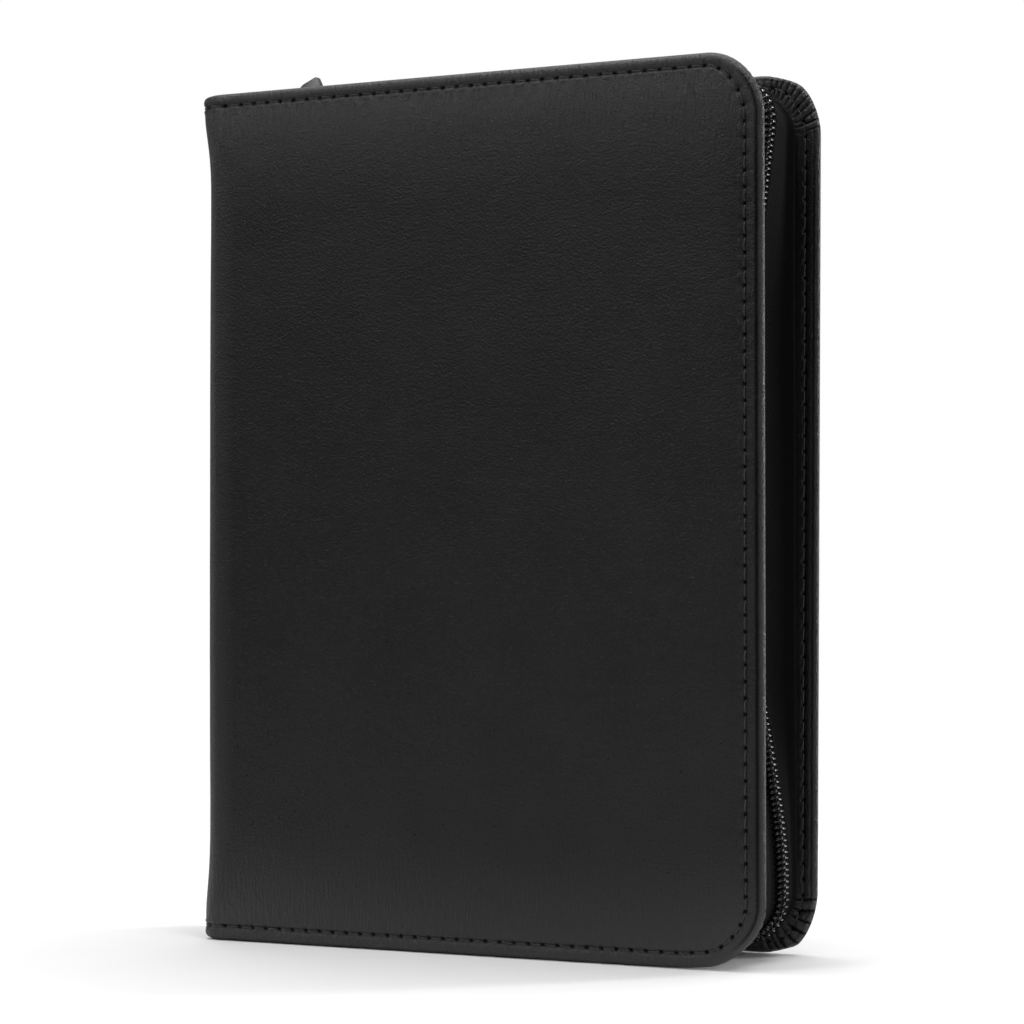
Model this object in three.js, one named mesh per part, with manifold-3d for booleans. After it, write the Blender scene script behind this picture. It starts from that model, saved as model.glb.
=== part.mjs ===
// A zip-round portfolio case, closed and standing on its bottom edges.
// Millimetres. +X runs from the spine to the opening edge, +Y from the front cover to the back
// cover, and +Z up. The origin is under the middle of the case, on the surface it stands on.
import * as THREE from 'three';
import { mergeVertices } from 'three/addons/utils/BufferGeometryUtils.js';
import Module from 'manifold-3d';

const wasm = await Module();
wasm.setup();

// Driving dimensions of the closed case
const HEIGHT = 235;
const WIDTH = 165;
const THICKNESS = 43;
const COVER = 4; // thickness of a cover or of the spine, all layers together
const CORNER = 17; // radius of the covers' two corners at the opening edge
const ARC_STEPS = 4; // curveSegments of every rounded corner

// Layers of a cover, counted from its outer face inwards
const LEATHER = 0.9;
const FOAM = 0.8;
const BOARD = 1.3;
const TURN_IN = 0.7; // leather turned in over the board, level with the lining
const LAYER_GAP = 0.1;

// Zip, as distances in from the covers' outline
const TAPE_INSET = 6.2; // outer side of the tape
const TAPE = 0.7; // thickness of the tape
const COIL_INSET = 3.7; // outer side of the coil
const COIL = 2.4; // height of the coil above the tape
const TAPE_EDGE = 0.9; // from the middle of the case to a tape's free edge
const COIL_NEAR = 0.7; // from the middle of the case to a coil's near side
const COIL_FAR = 3.0; // and to its far side

// Places along X
const LEFT = -WIDTH / 2;
const RIGHT = WIDTH / 2;
const INNER_LEFT = LEFT + COVER; // inner face of the spine
const CAVITY_LEFT = INNER_LEFT + 2.5; // where a cover's board, lining and tape begin
const SLIDER_X = -69.5;
const COIL_TOP_START = -59.7; // far enough from the slider for the front coil to swing clear
const COIL_BOTTOM_START = -68.3;

// Overlaps and setbacks of the layers
const WINDOW_OVERLAP = 0.2; // the turned-in leather ends this much short of the tape
const CAVITY_STEP = 0.4; // the hollow for the board reaches this far past the window's left side
const CLEAR = 1; // how far a cutting solid stands out past what it cuts
const LINING_GAP = 0.3; // between the tape and the edge of a cover's lining
const SPINE_BOARD_SETBACK = 1.5; // the spine's board ends this far short of each fold

// Half the gap left at the mitre between a cover and the spine
const MITRE_GAP = 0.2;

const COLOURS = {
  leather: 0x262525,
  board: 0x8d8375,
  foam: 0x3a3a3a,
  lining: 0x1b1b1d,
  tape: 0x151515,
  coil: 0x1d1d1f,
  metal: 0x77777a,
  elastic: 0x18181a,
};

const scene = new THREE.Group();
const backCover = new THREE.Group();
const spine = new THREE.Group();
const frontCover = new THREE.Group();
const zipSlider = new THREE.Group();
scene.add(backCover, spine, frontCover, zipSlider);

function material(kind) {
  const metal = kind === 'metal';
  return new THREE.MeshStandardMaterial({
    color: COLOURS[kind],
    roughness: metal ? 0.35 : 0.7,
    metalness: metal ? 1 : 0,
  });
}

function addPiece(group, name, kind, geometry) {
  const mesh = new THREE.Mesh(geometry, material(kind));
  mesh.name = name;
  group.add(mesh);
  return mesh;
}

// Solid joins and cuts
function toSolid(geometry) {
  const bare = geometry.clone();
  bare.deleteAttribute('normal');
  bare.deleteAttribute('uv');
  const merged = mergeVertices(bare);
  const vertProperties = merged.attributes.position.array;
  const triVerts = new Uint32Array(merged.index.array);
  return new wasm.Manifold(new wasm.Mesh({ numProp: 3, vertProperties, triVerts }));
}

function toGeometry(solid) {
  const mesh = solid.getMesh();
  const geometry = new THREE.BufferGeometry();
  geometry.setAttribute('position', new THREE.BufferAttribute(mesh.vertProperties, 3));
  geometry.setIndex(new THREE.BufferAttribute(mesh.triVerts, 1));
  geometry.computeVertexNormals();
  return geometry;
}

// A box given by its lowest and highest corners
function boxBetween(low, high) {
  const size = high.map((value, axis) => value - low[axis]);
  const middle = high.map((value, axis) => (value + low[axis]) / 2);
  return new THREE.BoxGeometry(...size).translate(...middle);
}

// An outline in X and Z, made solid between two depths from the outer face of a cover.
// side is -1 for the front cover and +1 for the back cover.
function plate(outline, nearDepth, farDepth, side) {
  const options = { depth: farDepth - nearDepth, bevelEnabled: false, curveSegments: ARC_STEPS };
  const high = Math.max(side * (THICKNESS / 2 - nearDepth), side * (THICKNESS / 2 - farDepth));
  return new THREE.ExtrudeGeometry(outline, options).rotateX(Math.PI / 2).translate(0, high, 0);
}

// An outline in X and Y, made solid between two heights
function column(outline, low, high) {
  const options = { depth: high - low, bevelEnabled: false, curveSegments: ARC_STEPS };
  return new THREE.ExtrudeGeometry(outline, options).translate(0, 0, low);
}

// The covers' outline moved in by inset, from x = left to the opening edge and up to z = top
function coverOutline(inset, left, top = HEIGHT - inset) {
  const outline = new THREE.Shape();
  const radius = CORNER - inset;
  outline.moveTo(left, top);
  outline.lineTo(left, inset);
  outline.absarc(RIGHT - CORNER, CORNER, radius, -Math.PI / 2, 0);
  if (top > HEIGHT - CORNER) {
    outline.absarc(RIGHT - CORNER, HEIGHT - CORNER, radius, 0, Math.PI / 2);
  } else {
    outline.lineTo(RIGHT - inset, top);
  }
  return outline;
}

// A strip that follows the top, opening and bottom edges between two insets
function edgeStrip(outer, inner, topLeft, bottomLeft) {
  const strip = new THREE.Shape();
  const middleX = RIGHT - CORNER;
  strip.moveTo(bottomLeft, inner);
  strip.lineTo(bottomLeft, outer);
  strip.absarc(middleX, CORNER, CORNER - outer, -Math.PI / 2, 0);
  strip.absarc(middleX, HEIGHT - CORNER, CORNER - outer, 0, Math.PI / 2);
  strip.lineTo(topLeft, HEIGHT - outer);
  strip.lineTo(topLeft, HEIGHT - inner);
  strip.absarc(middleX, HEIGHT - CORNER, CORNER - inner, Math.PI / 2, 0, true);
  strip.absarc(middleX, CORNER, CORNER - inner, 0, -Math.PI / 2, true);
  return strip;
}

// The fold between a cover and the spine is a quarter round about the inner corner, cut by a
// 45 degree mitre. These are the angles, from straight out through the cover, where the two
// halves of the round end.
const MITRE_ANGLE = Math.PI / 4 - Math.asin(MITRE_GAP / COVER);
const MITRE_STEP = MITRE_GAP * Math.SQRT2;

// Cross-section of a cover's leather in X and Y, with its half of the fold
function coverSection(side) {
  const section = new THREE.Shape();
  const insideY = side * (THICKNESS / 2 - COVER);
  const outsideY = side * (THICKNESS / 2);
  section.moveTo(RIGHT + CLEAR, outsideY);
  section.lineTo(RIGHT + CLEAR, insideY);
  section.lineTo(INNER_LEFT + MITRE_STEP, insideY);
  for (let step = ARC_STEPS; step >= 0; step -= 1) {
    const angle = (MITRE_ANGLE * step) / ARC_STEPS;
    section.lineTo(INNER_LEFT - COVER * Math.sin(angle), insideY + side * COVER * Math.cos(angle));
  }
  return section;
}

// Cross-section of the spine's leather in X and Y, with its halves of both folds
function spineSection() {
  const section = new THREE.Shape();
  const insideY = THICKNESS / 2 - COVER;
  section.moveTo(INNER_LEFT, -insideY + MITRE_STEP);
  section.lineTo(INNER_LEFT, insideY - MITRE_STEP);
  for (let step = ARC_STEPS; step >= 0; step -= 1) {
    const angle = (MITRE_ANGLE * step) / ARC_STEPS;
    section.lineTo(INNER_LEFT - COVER * Math.cos(angle), insideY + COVER * Math.sin(angle));
  }
  for (let step = 0; step <= ARC_STEPS; step += 1) {
    const angle = (MITRE_ANGLE * step) / ARC_STEPS;
    section.lineTo(INNER_LEFT - COVER * Math.cos(angle), -insideY - COVER * Math.sin(angle));
  }
  return section;
}

// Leather of one cover: wrapped over the edges and turned in round a window for the lining
function coverSkin(side) {
  const slab = toSolid(plate(coverOutline(0, LEFT), -CLEAR, COVER + CLEAR, side));
  const folded = slab.intersect(toSolid(column(coverSection(side), -CLEAR, HEIGHT + CLEAR)));
  const hollow = coverOutline(LEATHER, CAVITY_LEFT - CAVITY_STEP);
  const cavity = toSolid(plate(hollow, LEATHER, COVER - TURN_IN, side));
  const window = coverOutline(TAPE_INSET - WINDOW_OVERLAP, CAVITY_LEFT);
  const opening = toSolid(plate(window, 2 * LEATHER, COVER + CLEAR, side));
  return toGeometry(folded.subtract(cavity).subtract(opening));
}

function addCoverLayers(group, label, side) {
  const left = CAVITY_LEFT + LAYER_GAP;
  const inset = LEATHER + LAYER_GAP;
  const foamTop = LEATHER + LAYER_GAP + FOAM;
  const boardTop = foamTop + LAYER_GAP + BOARD;
  const liningInset = TAPE_INSET + TAPE + LINING_GAP;
  const liningLow = boardTop + LAYER_GAP;
  addPiece(group, `${label}_cover_leather`, 'leather', coverSkin(side));
  const foam = plate(coverOutline(inset, left), inset, foamTop, side);
  addPiece(group, `${label}_cover_foam`, 'foam', foam);
  const board = plate(coverOutline(inset, left), foamTop + LAYER_GAP, boardTop, side);
  addPiece(group, `${label}_cover_board`, 'board', board);
  const lining = plate(coverOutline(liningInset, left), liningLow, COVER, side);
  addPiece(group, `${label}_cover_lining`, 'lining', lining);
}

// One half of the zip: a tape that stands on the cover between leather and lining, and its coil
function addZipHalf(group, label, side) {
  const left = CAVITY_LEFT + 2 * LAYER_GAP;
  const middle = THICKNESS / 2;
  const tapeStrip = edgeStrip(TAPE_INSET, TAPE_INSET + TAPE, left, left);
  const tape = plate(tapeStrip, COVER - TURN_IN, middle - TAPE_EDGE, side);
  addPiece(group, `zip_tape_${label}`, 'tape', tape);
  const coilStrip = edgeStrip(COIL_INSET, COIL_INSET + COIL, COIL_TOP_START, COIL_BOTTOM_START);
  const coil = plate(coilStrip, middle - COIL_FAR, middle - COIL_NEAR, side);
  addPiece(group, `zip_coil_${label}`, 'coil', coil);
}

function addSpineLayers() {
  const boardHalf = THICKNESS / 2 - COVER - SPINE_BOARD_SETBACK;
  const inset = LEATHER + LAYER_GAP;
  const foamRight = LEFT + inset + FOAM;
  const boardRight = foamRight + LAYER_GAP + BOARD;
  const cavityLow = [LEFT + LEATHER, -boardHalf - LAYER_GAP, LEATHER];
  const cavityHigh = [INNER_LEFT - TURN_IN, boardHalf + LAYER_GAP, HEIGHT - LEATHER];
  const windowLow = [LEFT + LEATHER, -boardHalf - LAYER_GAP, TAPE_INSET];
  const windowHigh = [INNER_LEFT + CLEAR, boardHalf + LAYER_GAP, HEIGHT - TAPE_INSET];
  const skin = toSolid(column(spineSection(), 0, HEIGHT))
    .subtract(toSolid(boxBetween(cavityLow, cavityHigh)))
    .subtract(toSolid(boxBetween(windowLow, windowHigh)));
  addPiece(spine, 'spine_leather', 'leather', toGeometry(skin));
  const foamLow = [LEFT + inset, -boardHalf, inset];
  const foamHigh = [foamRight, boardHalf, HEIGHT - inset];
  addPiece(spine, 'spine_foam', 'foam', boxBetween(foamLow, foamHigh));
  const boardLow = [foamRight + LAYER_GAP, -boardHalf, inset];
  const boardHigh = [boardRight, boardHalf, HEIGHT - inset];
  addPiece(spine, 'spine_board', 'board', boxBetween(boardLow, boardHigh));
  const liningLow = [boardRight + LAYER_GAP, -boardHalf, TAPE_INSET + LAYER_GAP];
  const liningHigh = [INNER_LEFT, boardHalf, HEIGHT - TAPE_INSET - LAYER_GAP];
  addPiece(spine, 'spine_lining', 'lining', boxBetween(liningLow, liningHigh));
}

// Pockets are flat panels sewn to the lining along three edges, so they lie flat when empty
const POCKET = 0.9;
const POCKET_GAP = 0.2;
const POCKET_INSET = 9;
const POCKET_LEFT = CAVITY_LEFT + 3;
const DOCUMENT_POCKET_TOP = 196;
const TOOL_POCKET_TOP = 50;
const PAD_POCKET_TOP = 112;

function pocketPanel(top, layer, side) {
  const near = COVER + POCKET_GAP + layer * (POCKET + POCKET_GAP);
  return plate(coverOutline(POCKET_INSET, POCKET_LEFT, top), near, near + POCKET, side);
}

// A strip of elastic sewn down at intervals. Its outline runs along one side of the strip,
// over the arches, and back along the other side.
const ELASTIC = 0.9;
const LOOP_RADIUS = 5.5; // inner half width of a loop
const LOOP_RISE = 2.5; // straight sides below the round top
const LOOP_PITCH = 22;
const LOOP_COUNT = 5;
const LOOP_SEAM = 5; // flat length of elastic at each end of the strip
const ARCH_STEPS = 8;
const BAND_WIDTH = 32; // width of the elastic, along Z
const BAND_LOW = 118;
const PEN_LOOP_WIDTH = 34;
const PEN_LOOP_LOW = 100;

// Points over one arch at a distance out from its inner face, left to right
function archPoints(middle, extra) {
  const points = [];
  for (let step = 0; step <= ARCH_STEPS; step += 1) {
    const angle = Math.PI - (Math.PI * step) / ARCH_STEPS;
    const reach = LOOP_RADIUS + extra;
    points.push([middle + reach * Math.cos(angle), LOOP_RISE + reach * Math.sin(angle)]);
  }
  return points;
}

// Cross-section of a strip with count arches, as [along, rise] points
function elasticOutline(count) {
  const firstMiddle = (-(count - 1) * LOOP_PITCH) / 2;
  const end = -firstMiddle + LOOP_RADIUS + LOOP_SEAM;
  const inner = [];
  const outer = [];
  for (let loop = 0; loop < count; loop += 1) {
    const middle = firstMiddle + loop * LOOP_PITCH;
    inner.push([middle - LOOP_RADIUS, 0], ...archPoints(middle, 0), [middle + LOOP_RADIUS, 0]);
    const reach = LOOP_RADIUS + ELASTIC;
    outer.push([middle - reach, ELASTIC], ...archPoints(middle, ELASTIC));
    outer.push([middle + reach, ELASTIC]);
  }
  return [[-end, 0], ...inner, [end, 0], [end, ELASTIC], ...outer.reverse(), [-end, ELASTIC]];
}

function outlineShape(points) {
  return new THREE.Shape(points.map(([x, y]) => new THREE.Vector2(x, y)));
}

function addInsideFront() {
  const documentPocket = pocketPanel(DOCUMENT_POCKET_TOP, 0, -1);
  addPiece(frontCover, 'document_pocket', 'lining', documentPocket);
  addPiece(frontCover, 'tool_pocket', 'lining', pocketPanel(TOOL_POCKET_TOP, 1, -1));
  const bandLow = -THICKNESS / 2 + COVER + 2 * POCKET_GAP + POCKET;
  const band = column(outlineShape(elasticOutline(LOOP_COUNT)), 0, BAND_WIDTH);
  const mesh = addPiece(frontCover, 'tool_band', 'elastic', band);
  mesh.position.set(0, bandLow, BAND_LOW);
}

function addInsideBack() {
  addPiece(backCover, 'pad_pocket', 'lining', pocketPanel(PAD_POCKET_TOP, 0, 1));
}

function addPenLoop() {
  const loop = column(outlineShape(elasticOutline(1)), 0, PEN_LOOP_WIDTH);
  const mesh = addPiece(spine, 'pen_loop', 'elastic', loop);
  mesh.rotation.z = -Math.PI / 2;
  mesh.position.set(INNER_LEFT + POCKET_GAP, 0, PEN_LOOP_LOW);
}

// Zip slider, in a frame of its own: z = 0 is the outer side of the tape on the top run
const SLIDER_LENGTH = 10;
const SLIDER_HALF_WIDTH = 4.5;
const NOSE_CLIP = 1.6; // the corners cut off at the nose
const CHANNEL_PLAY = 0.4; // between the channel and the coil or the tape
const CHANNEL_TOP = COIL + CHANNEL_PLAY;
const TOP_PLATE = 1.2;
const FLANGE = 0.9; // thickness of the side flanges
const FLANGE_DROP = 1.5;
const CHANNEL_BOTTOM = -(TAPE + CHANNEL_PLAY);
const BOTTOM_PLATE = 1;
const POST_HALF_WIDTH = 0.4;
const POST_LENGTH = 2;
const POST_SETBACK = 0.2; // from the nose to the post between the two plates
const CROWN_X = -1.3; // the crown stands nearer the slider's nose
const CROWN_FOOT = CHANNEL_TOP + TOP_PLATE + LAYER_GAP;
const CROWN_HALF_LENGTH = 2.8;
const CROWN_HEIGHT = 2.4;
const CROWN_HALF_WIDTH = 1.1;
const CROWN_CLIP = 0.8;
const ARCH_HALF_LENGTH = 1.4; // of the opening under the crown
const ARCH_HEIGHT = 1.55;
const PIVOT_HEIGHT = CROWN_FOOT + 0.85; // the pull link turns about this line

// Plate with two clipped corners at the nose, which faces the spine
function sliderPlate(low, high) {
  const half = SLIDER_LENGTH / 2;
  const clip = NOSE_CLIP;
  const width = SLIDER_HALF_WIDTH;
  const points = [
    [half, -width],
    [half, width],
    [-half + clip, width],
    [-half, width - clip],
    [-half, -width + clip],
    [-half + clip, -width],
  ];
  return toSolid(column(outlineShape(points), low, high));
}

function sliderBody() {
  const half = SLIDER_LENGTH / 2;
  const outside = SLIDER_HALF_WIDTH;
  const flangeLow = CHANNEL_TOP - FLANGE_DROP;
  let body = sliderPlate(CHANNEL_TOP, CHANNEL_TOP + TOP_PLATE);
  body = body.add(sliderPlate(CHANNEL_BOTTOM - BOTTOM_PLATE, CHANNEL_BOTTOM));
  for (const side of [-1, 1]) {
    const edges = [side * outside, side * (outside - FLANGE)].sort((a, b) => a - b);
    const low = [-half + NOSE_CLIP, edges[0], flangeLow];
    const high = [half, edges[1], CHANNEL_TOP + TOP_PLATE / 2];
    body = body.add(toSolid(boxBetween(low, high)));
  }
  const postNear = -half + POST_SETBACK;
  const postLow = [postNear, -POST_HALF_WIDTH, CHANNEL_BOTTOM - BOTTOM_PLATE / 2];
  const postHigh = [postNear + POST_LENGTH, POST_HALF_WIDTH, CHANNEL_TOP + TOP_PLATE / 2];
  body = body.add(toSolid(boxBetween(postLow, postHigh)));
  return toGeometry(body);
}

// Staple-shaped crown over the slider, which the pull link passes under
function sliderCrown() {
  const shape = new THREE.Shape();
  const half = CROWN_HALF_LENGTH;
  const clip = CROWN_CLIP;
  shape.moveTo(-half, 0);
  shape.lineTo(-half, CROWN_HEIGHT - clip);
  shape.lineTo(-half + clip, CROWN_HEIGHT);
  shape.lineTo(half - clip, CROWN_HEIGHT);
  shape.lineTo(half, CROWN_HEIGHT - clip);
  shape.lineTo(half, 0);
  shape.lineTo(ARCH_HALF_LENGTH, 0);
  shape.lineTo(ARCH_HALF_LENGTH, ARCH_HEIGHT);
  shape.lineTo(-ARCH_HALF_LENGTH, ARCH_HEIGHT);
  shape.lineTo(-ARCH_HALF_LENGTH, 0);
  const width = 2 * CROWN_HALF_WIDTH;
  const crown = new THREE.ExtrudeGeometry(shape, { depth: width, bevelEnabled: false });
  return crown.rotateX(Math.PI / 2).translate(CROWN_X, CROWN_HALF_WIDTH, CROWN_FOOT);
}

// Pull, in a frame of its own: the link's inner bar lies on Y at the origin, the tab points to +X
const PULL_TILT = THREE.MathUtils.degToRad(25);
const WIRE = 0.5; // radius of the link's wire
const LINK_REACH = 5; // between the link's two bars
const LINK_HALF_WIDTH = 2.2;
const LINK_CLIP = 0.8;
const TAB_HALF_THICKNESS = 0.7;
const TAB_HOLE = 0.8;
const TAB_EYE = 1.5; // radius of the tab's end round its hole
const TAB_HALF_HEIGHT = 2.5;
const TAB_NECK = 3.2; // from the hole's middle to where the tab has its full height
const TAB_END_RADIUS = 0.9;
const TAB_CURVE_STEPS = 6;
const TAB_END = 13.3; // from the link's inner bar to the tab's free end

// A closed loop of square-cut wire lying in the X and Y plane
function pullLink() {
  const outer = new THREE.Shape();
  const right = LINK_REACH + WIRE;
  const wide = LINK_HALF_WIDTH + WIRE;
  const corner = LINK_CLIP;
  outer.moveTo(-WIRE + corner, -wide);
  outer.lineTo(right - corner, -wide);
  outer.lineTo(right, -wide + corner);
  outer.lineTo(right, wide - corner);
  outer.lineTo(right - corner, wide);
  outer.lineTo(-WIRE + corner, wide);
  outer.lineTo(-WIRE, wide - corner);
  outer.lineTo(-WIRE, -wide + corner);
  const hole = new THREE.Path();
  hole.moveTo(WIRE, -LINK_HALF_WIDTH + WIRE);
  hole.lineTo(WIRE, LINK_HALF_WIDTH - WIRE);
  hole.lineTo(LINK_REACH - WIRE, LINK_HALF_WIDTH - WIRE);
  hole.lineTo(LINK_REACH - WIRE, -LINK_HALF_WIDTH + WIRE);
  outer.holes.push(hole);
  const depth = 2 * WIRE;
  return new THREE.ExtrudeGeometry(outer, { depth, bevelEnabled: false }).translate(0, 0, -WIRE);
}

// A flat tab that stands on edge, with a round eye for the link and a rounded free end
function pullTab() {
  const shape = new THREE.Shape();
  const shoulder = LINK_REACH + TAB_NECK;
  const end = TAB_END_RADIUS;
  const high = TAB_HALF_HEIGHT;
  shape.absarc(LINK_REACH, 0, TAB_EYE, Math.PI / 2, (3 * Math.PI) / 2);
  shape.lineTo(shoulder, -high);
  shape.absarc(TAB_END - end, -high + end, end, -Math.PI / 2, 0);
  shape.absarc(TAB_END - end, high - end, end, 0, Math.PI / 2);
  shape.lineTo(shoulder, high);
  const hole = new THREE.Path();
  hole.absarc(LINK_REACH, 0, TAB_HOLE, 0, 2 * Math.PI, true);
  shape.holes.push(hole);
  const depth = 2 * TAB_HALF_THICKNESS;
  const options = { depth, bevelEnabled: false, curveSegments: TAB_CURVE_STEPS };
  const tab = new THREE.ExtrudeGeometry(shape, options);
  return tab.rotateX(Math.PI / 2).translate(0, TAB_HALF_THICKNESS, 0);
}

function addSlider() {
  zipSlider.position.set(SLIDER_X, 0, HEIGHT - TAPE_INSET);
  addPiece(zipSlider, 'zip_slider_body', 'metal', sliderBody());
  addPiece(zipSlider, 'zip_slider_crown', 'metal', sliderCrown());
  const pull = new THREE.Group();
  pull.position.set(CROWN_X, 0, PIVOT_HEIGHT);
  pull.rotation.y = -PULL_TILT;
  zipSlider.add(pull);
  addPiece(pull, 'zip_pull_link', 'metal', pullLink());
  addPiece(pull, 'zip_pull_tab', 'metal', pullTab());
}

// Stops: one small crimp on each tape past the slider's nose, and one across the other end
const STOP_HEIGHT = 1;
const TOP_STOP_FAR = 2.6; // from the middle of the case to a top stop's far side
const TOP_STOP_OVERLAP = 0.3; // the top stops reach this far past the slider's nose
const BOTTOM_STOP_LENGTH = 3.4;
const BOTTOM_STOP_HALF_WIDTH = 1.8;

function addZipStops() {
  const low = HEIGHT - TAPE_INSET + LAYER_GAP;
  const left = CAVITY_LEFT + 2 * LAYER_GAP;
  const crimpRight = SLIDER_X - SLIDER_LENGTH / 2 + TOP_STOP_OVERLAP;
  for (const [group, label, side] of [[frontCover, 'front', -1], [backCover, 'back', 1]]) {
    const edges = [side * TAPE_EDGE, side * TOP_STOP_FAR].sort((a, b) => a - b);
    const stop = boxBetween([left, edges[0], low], [crimpRight, edges[1], low + STOP_HEIGHT]);
    addPiece(group, `zip_top_stop_${label}`, 'metal', stop);
  }
  const high = TAPE_INSET - LAYER_GAP;
  const halfWidth = BOTTOM_STOP_HALF_WIDTH;
  const bottomLow = [left, -halfWidth, high - STOP_HEIGHT];
  const bottom = boxBetween(bottomLow, [left + BOTTOM_STOP_LENGTH, halfWidth, high]);
  addPiece(backCover, 'zip_bottom_stop', 'metal', bottom);
}

addCoverLayers(backCover, 'back', 1);
addCoverLayers(frontCover, 'front', -1);
addSpineLayers();
addZipHalf(backCover, 'back', 1);
addZipHalf(frontCover, 'front', -1);
addZipStops();
addInsideFront();
addInsideBack();
addPenLoop();
addSlider();

export default scene;
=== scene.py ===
"""A zip-round portfolio case in black faux leather, closed and standing upright.

Shapes are worked out in millimetres in the CAD frame and become metres in add_mesh.
"""
import bisect
import math
import random

import bmesh
import bpy
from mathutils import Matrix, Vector, noise


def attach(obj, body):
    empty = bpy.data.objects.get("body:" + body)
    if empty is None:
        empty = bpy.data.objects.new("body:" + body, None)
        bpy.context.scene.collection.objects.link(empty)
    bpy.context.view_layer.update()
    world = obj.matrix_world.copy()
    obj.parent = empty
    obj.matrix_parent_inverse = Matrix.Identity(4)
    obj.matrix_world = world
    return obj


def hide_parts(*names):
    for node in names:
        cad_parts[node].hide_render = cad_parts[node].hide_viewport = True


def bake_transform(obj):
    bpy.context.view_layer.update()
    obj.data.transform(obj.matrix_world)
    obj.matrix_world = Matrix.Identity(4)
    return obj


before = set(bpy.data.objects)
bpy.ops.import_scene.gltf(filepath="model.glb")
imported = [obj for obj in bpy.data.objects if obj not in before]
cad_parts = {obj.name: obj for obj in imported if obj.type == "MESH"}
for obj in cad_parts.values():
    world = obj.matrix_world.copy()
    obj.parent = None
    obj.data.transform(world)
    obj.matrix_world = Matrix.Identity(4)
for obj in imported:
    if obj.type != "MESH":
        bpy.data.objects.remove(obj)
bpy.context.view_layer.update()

MM = 0.001

# Case, in millimetres
HEIGHT = 235.0
RIGHT = 82.5
HALF = 21.5  # from the middle of the case to a cover's outer face
SIDES = ((-1, "front"), (1, "back"))
COVER = 4.0  # thickness of a cover
CORNER = 17.0
INNER_LEFT = -78.5  # inner face of the spine
FOLD_ARC = COVER * math.pi / 2
SPINE_END = INNER_LEFT - COVER
SHEET_LEFT = -(FOLD_ARC + HALF - COVER)  # unfolded leather, from the middle of the spine
SHEET_RIGHT = RIGHT - INNER_LEFT
SHEET_CORNER = SHEET_RIGHT - CORNER

# Leather sheet
FACE_INSET = 15.8  # where the edge profile meets the face
RING_STEP = 0.9
PILLOW = 0.62  # drop of the face towards its seam
PILLOW_INSET = 17.0  # where that drop begins
BOW = 0.3  # drop of the whole face from its middle to its top and bottom
SEAM_TOP = 3.5
SEAM_SIDE = 5.2
SEAM_BOTTOM = 3.9
SEAM_INSIDE = 3.8
SEAM_DROP = 0.66
MARGIN_DEPTH = 3.92  # of the turned-in margin, from the outer face
STITCH = 4.2
PIT = 0.78
PIT_WIDTH = 0.46
HOLE_WIDTH = 0.42  # width of the painted shade at a hole
PUFF = 0.24  # leather that stands up beside the thread
GROOVE_INSET = 1.65  # the groove between the seam and the edge's bead, where shade is painted dark
GROOVE_SHADE = 0.75
BEAD_INSET = 0.4  # the front cover's bead, which gets a painted highlight for the light it catches
BEAD_HIGHLIGHT = 0.9
WAVE = 0.07  # slow unevenness of the leather over its foam
RIPPLE = 0.022  # and quick unevenness
THREAD = 0.23
THREAD_PARTS = (0.12, 0.17, 0.24, 0.4, 0.6, 0.76, 0.83, 0.88)  # of a stitch, hole to hole
THREAD_SPAN = THREAD_PARTS[-1] - THREAD_PARTS[0]
THREAD_SINK = 0.7  # how far the thread's ends go down into the holes
THREAD_INSIDE = (3.5, 3.93)  # depths of the thread on the margin, at the holes and between
INNER_SEAM_LEFT = 2.5  # the margin's seam begins past the fold
COVER_SHRINK = 0.9  # the front cover's opening edge stands this far short of the back cover's
CORNER_LIFT = 1.7  # its lower corner is rounded off by this much more
CORNER_DROP = 1.7  # the back cover's lower corner is squarer by this much
CORNER_DROP_TOP = 1.1  # and its upper corner by this much
BACK_LEAN = 1.0  # the back cover is narrower by this much at its lower end
BACK_REACH = 0.7  # and wider by this much at its upper end
SPINE_STAND = 0.95  # the spine's leather stands out past the flat spine
SPINE_BULGE = 0.35  # and by this much more towards its middle
SPINE_FLARE = 2.5  # and at its stitched lower end
SPINE_FLARE_TOP = 3.5  # and upper end
FLARE_REACH = 16.0  # how far the lower flare reaches up
FLARE_REACH_TOP = 14.0  # and the upper one down
PLEATS_TOP = 13
PLEATS_BOTTOM = 9
PLEAT = 1.5

# Zip
TAPE_INSET = 6.2
TAPE = 0.6
TAPE_LEFT = -75.8
CHAIN_LEFT = -63.5
CHAIN_BOTTOM_LEFT = -68.3
CHAIN_SAG = 6.2  # how far the zip bows in along the opening edge
CHAIN_DRIFT = 3.4  # and towards the back cover at its lower corner
CHAIN_DRIFT_TOP = 2.4  # and towards the front cover at its upper corner
SAG_TOP = (238.0, 166.0)  # heights between which the bow grows from nothing, from the top
SAG_BOTTOM = (20.0, 80.0)  # and from the bottom
DRIFT_BOTTOM = (95.0, 45.0)  # the same for the drifts
DRIFT_TOP = (150.0, 205.0)
DRIFT_BOTTOM_RUN = (20.0, 70.0)  # and the places between which they grow along the two ends
DRIFT_TOP_RUN = (66.0, 82.0)
CHAIN_STEP = 0.6
TAPE_OUT = 17.6  # from the middle of the case to a tape's outer edge
TAPE_GAP = 0.55  # and to its edge under the chain
TAPE_WAVE = 0.1  # slow unevenness
PITCH = 1.53
COIL_MIDDLE = 1.35
COIL_HALF_WIDTH = 1.72
COIL_HALF_HEIGHT = 1.0
COIL_RISE = 1.25
WIRE = 0.33
COIL_THREAD = 0.14
COIL_THREAD_RISE = 2.42  # the strands' height above the tape
COIL_THREAD_ACROSS = (2.05, 2.55)  # and their distances from the chain's middle

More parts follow.
